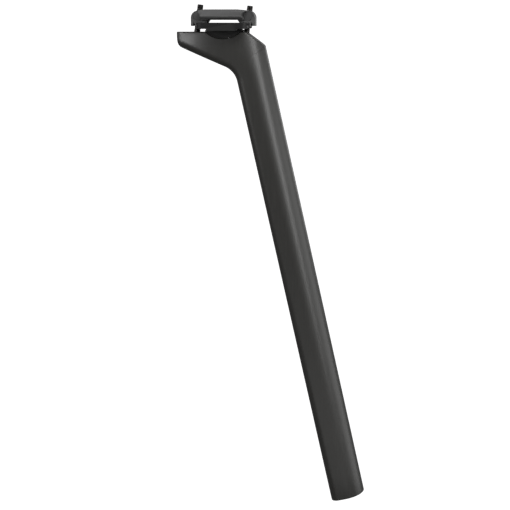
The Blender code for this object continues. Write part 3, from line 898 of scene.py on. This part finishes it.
def carbon_material():
    """Satin black-brown composite: fine fibres along the tube under a matte coat."""
    m = Nodes("satin_carbon")
    along = m.coordinates((900.0, 900.0, 26.0), (0.0, LEAN, 0.0))
    plain = m.coordinates((1.0, 1.0, 1.0))
    fibre = m.noise(along, 1.0, 3.0, 0.6)
    cloud = m.noise(plain, 38.0, 3.0, 0.5)
    grain = m.noise(plain, 2600.0, 2.0, 0.6)
    base = m.mixed((0.0150, 0.0146, 0.0134), (0.0225, 0.0219, 0.0200), fibre)
    tone = m.mixed((0.86, 0.86, 0.86), (1.12, 1.12, 1.11), cloud)
    colour = m.mixed(base, tone, 1.0, "MULTIPLY")
    rough = m.spread(fibre, 0.36, 0.46)
    soft = m.bump(cloud, 0.05, 0.0012)
    bumped = m.bump(grain, 0.10, 0.00006, soft)
    final = m.bump(fibre, 0.12, 0.00005, bumped)
    m.set(Base_Color=colour, Roughness=rough, Normal=final, Metallic=0.0, IOR=1.5)
    m.set(Coat_Weight=0.15, Coat_Roughness=0.32)
    return m.material


def anodised_material(name, colour, light, metallic, roughness, specular):
    """Bead-blasted anodised aluminium, with a painted highlight that makes its sharp edges a little
    paler.
    """
    m = Nodes(name)
    plain = m.coordinates((1.0, 1.0, 1.0))
    blast = m.noise(plain, 1500.0, 3.0, 0.6)
    cloud = m.noise(plain, 90.0, 3.0, 0.5)
    # Painted highlight: sharp, pointy edges are mixed towards the paler colour given as light, as
    # if they caught the light
    edge = m.add("NewGeometry").outputs["Pointiness"]
    painted_edge_highlight = m.ramp(edge, (0.0, 0.0, 0.0), (1.0, 1.0, 1.0), (0.52, 0.60))
    tone = m.mixed(tuple(0.88 * c for c in colour), tuple(1.12 * c for c in colour), cloud)
    shade = m.mixed(tone, light, painted_edge_highlight)
    rough = m.spread(blast, roughness - 0.06, roughness + 0.08)
    m.set(Base_Color=shade, Metallic=metallic, Roughness=rough)
    m.set(Normal=m.bump(blast, 0.22, 0.00008), Specular_IOR_Level=specular)
    return m.material


def black_steel_material():
    """Black-oxide steel, with a faint brown cast and fine turning lines."""
    m = Nodes("black_oxide_steel")
    plain = m.coordinates((1.0, 1.0, 1.0))
    lines = m.noise(m.coordinates((300.0, 300.0, 5200.0), (0.0, -BOLT_LEAN, 0.0)), 1.0, 2.0)
    patch = m.noise(plain, 420.0)
    colour = m.mixed((0.020, 0.020, 0.021), (0.050, 0.046, 0.042), patch)
    m.set(Base_Color=colour, Metallic=0.85, Roughness=m.spread(patch, 0.30, 0.46))
    m.set(Normal=m.bump(lines, 0.12, 0.00004))
    return m.material


def turned_metal_material():
    """Bright turned aluminium with fine lathe rings."""
    m = Nodes("turned_aluminium")
    rings = m.noise(m.coordinates((200.0, 200.0, 9000.0), (0.0, -BOLT_LEAN, 0.0)), 1.0, 2.0)
    patch = m.noise(m.coordinates((1.0, 1.0, 1.0)), 300.0, 3.0)
    colour = m.mixed((0.42, 0.42, 0.43), (0.58, 0.58, 0.58), patch)
    m.set(Base_Color=colour, Metallic=1.0, Roughness=m.spread(rings, 0.24, 0.38))
    m.set(Normal=m.bump(rings, 0.18, 0.00004))
    return m.material


def backdrop_material():
    """A near-white studio sweep."""
    m = Nodes("studio_white")
    paper = m.noise(m.coordinates((1.0, 1.0, 1.0)), 6.0, 2.0)
    white = m.mixed((0.86, 0.86, 0.86), (0.88, 0.88, 0.88), paper)
    m.set(Base_Color=white, Roughness=0.9)
    m.set(Emission_Color=(1.0, 1.0, 1.0, 1.0), Emission_Strength=0.9)
    return m.material


# ---------------------------------------------------------------- studio


def aim(item, target):
    """Turns a light to face a point."""
    direction = Vector(target) - item.location
    item.rotation_euler = direction.to_track_quat("-Z", "Y").to_euler()


def softbox(name, azimuth, distance, height, width, tall, power, target_z):
    """A rectangular light, its azimuth measured from straight in front (-Y) towards +X."""
    light = bpy.data.lights.new(name, "AREA")
    light.shape = "RECTANGLE"
    light.size = width
    light.size_y = tall
    light.energy = power
    item = bpy.data.objects.new(name, light)
    bpy.context.scene.collection.objects.link(item)
    centre_x = CAMERA_TARGET_X * MM
    item.location = (centre_x + distance * sin(azimuth), -distance * cos(azimuth), height)
    aim(item, (centre_x, 0.0, target_z))
    return item


def make_camera():
    """The photograph's viewing angle."""
    data = bpy.data.cameras.new("camera")
    data.sensor_width = SENSOR_MM
    data.lens = CAMERA_LENS_MM
    data.clip_end = 50.0
    camera = bpy.data.objects.new("camera", data)
    bpy.context.scene.collection.objects.link(camera)
    camera.location = ((CAMERA_TARGET_X + CAMERA_DISTANCE * sin(CAMERA_YAW)) * MM,
                       -CAMERA_DISTANCE * cos(CAMERA_YAW) * MM, CAMERA_Z * MM)
    camera.rotation_euler = (pi / 2 - CAMERA_PITCH, 0.0, CAMERA_YAW)
    bpy.context.scene.camera = camera


def make_stage():
    """A round floor that sweeps up into a wall on all sides."""
    inner = SWEEP_RADIUS - SWEEP_BEND
    profile = [(SWEEP_CENTRE, SWEEP_FLOOR), (inner, SWEEP_FLOOR)]
    for k in range(1, SWEEP_BEND_STEPS + 1):
        turn = pi / 2 * k / SWEEP_BEND_STEPS
        profile.append((inner + SWEEP_BEND * sin(turn),
                        SWEEP_FLOOR + SWEEP_BEND * (1 - cos(turn))))
    profile.append((SWEEP_RADIUS, SWEEP_TOP))
    turns = [2 * pi * k / SWEEP_SIDES for k in range(SWEEP_SIDES)]
    mesh = bmesh.new()
    skin(mesh, [[(r * cos(turn), r * sin(turn), z) for turn in turns] for r, z in profile])
    data = bpy.data.meshes.new("studio_sweep")
    mesh.to_mesh(data)
    mesh.free()
    data.shade_smooth()
    sweep = bpy.data.objects.new("studio_sweep", data)
    bpy.context.scene.collection.objects.link(sweep)
    sweep.data.materials.append(backdrop_material())
    sweep.visible_diffuse = False
    sweep.visible_glossy = False


def make_lights():
    """A dim white world and the softboxes, three of them hidden from the camera."""
    world = bpy.data.worlds.new("studio_air")
    bpy.context.scene.world = world
    world.use_nodes = True
    background = world.node_tree.nodes["Background"]
    background.inputs["Color"].default_value = (1.0, 1.0, 1.0, 1.0)
    background.inputs["Strength"].default_value = WORLD_STRENGTH
    for settings in SOFTBOXES:
        softbox(*settings)
    for settings in UNSEEN_SOFTBOXES:
        softbox(*settings).visible_camera = False


# ---------------------------------------------------------------- putting it together


def dress(piece, surface):
    """Gives a piece one material."""
    piece.data.materials.clear()
    piece.data.materials.append(surface)


def main():
    bpy.context.scene.view_settings.view_transform = "Standard"
    make_camera()
    make_lights()
    make_stage()
    carbon = carbon_material()
    # The second colour given to each anodised material is its painted edge highlight
    grey = anodised_material("grey_anodised", (0.060, 0.060, 0.0605), (0.10, 0.10, 0.10), 0.3,
                             0.54, 0.5)
    black = anodised_material("black_anodised", (0.0035, 0.0035, 0.0037), (0.012, 0.012, 0.012),
                              0.0, 0.55, 0.25)
    steel = black_steel_material()
    turned = turned_metal_material()
    post = make_post()
    cradle = make_cradle()
    clamp = make_clamp()
    rear_bolt = make_bolt("rear_bolt_visual", REAR_BOLT_X, REAR_PIVOT_Z, REAR_TIP_Z)
    front_bolt = make_bolt("front_bolt_visual", FRONT_BOLT_X, FRONT_PIVOT_Z, FRONT_TIP_Z)
    rear_nut = make_nut("rear_nut_visual", REAR_BOLT_X)
    front_nut = make_nut("front_nut_visual", FRONT_BOLT_X)
    made = (
        (post, "post", "post_shell", "carbon", carbon),
        (cradle, "cradle", "lower_cradle", "black_metal", black),
        (clamp, "clamp", "upper_clamp", "clamp_metal", grey),
        (rear_bolt, "rear_screw", "rear_bolt", "bolt_metal", steel),
        (front_bolt, "front_screw", "front_bolt", "bolt_metal", steel),
        (rear_nut, "rear_nut", "rear_barrel_nut", "clamp_metal", grey),
        (front_nut, "front_nut", "front_barrel_nut", "clamp_metal", grey),
    )
    for piece, body, node, slot, surface in made:
        dress(piece, surface)
        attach(piece, body)
        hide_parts(node)
    for name in ("rear_washer", "front_washer", "rear_seat_insert", "front_seat_insert"):
        dress(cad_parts[name], turned)


main()
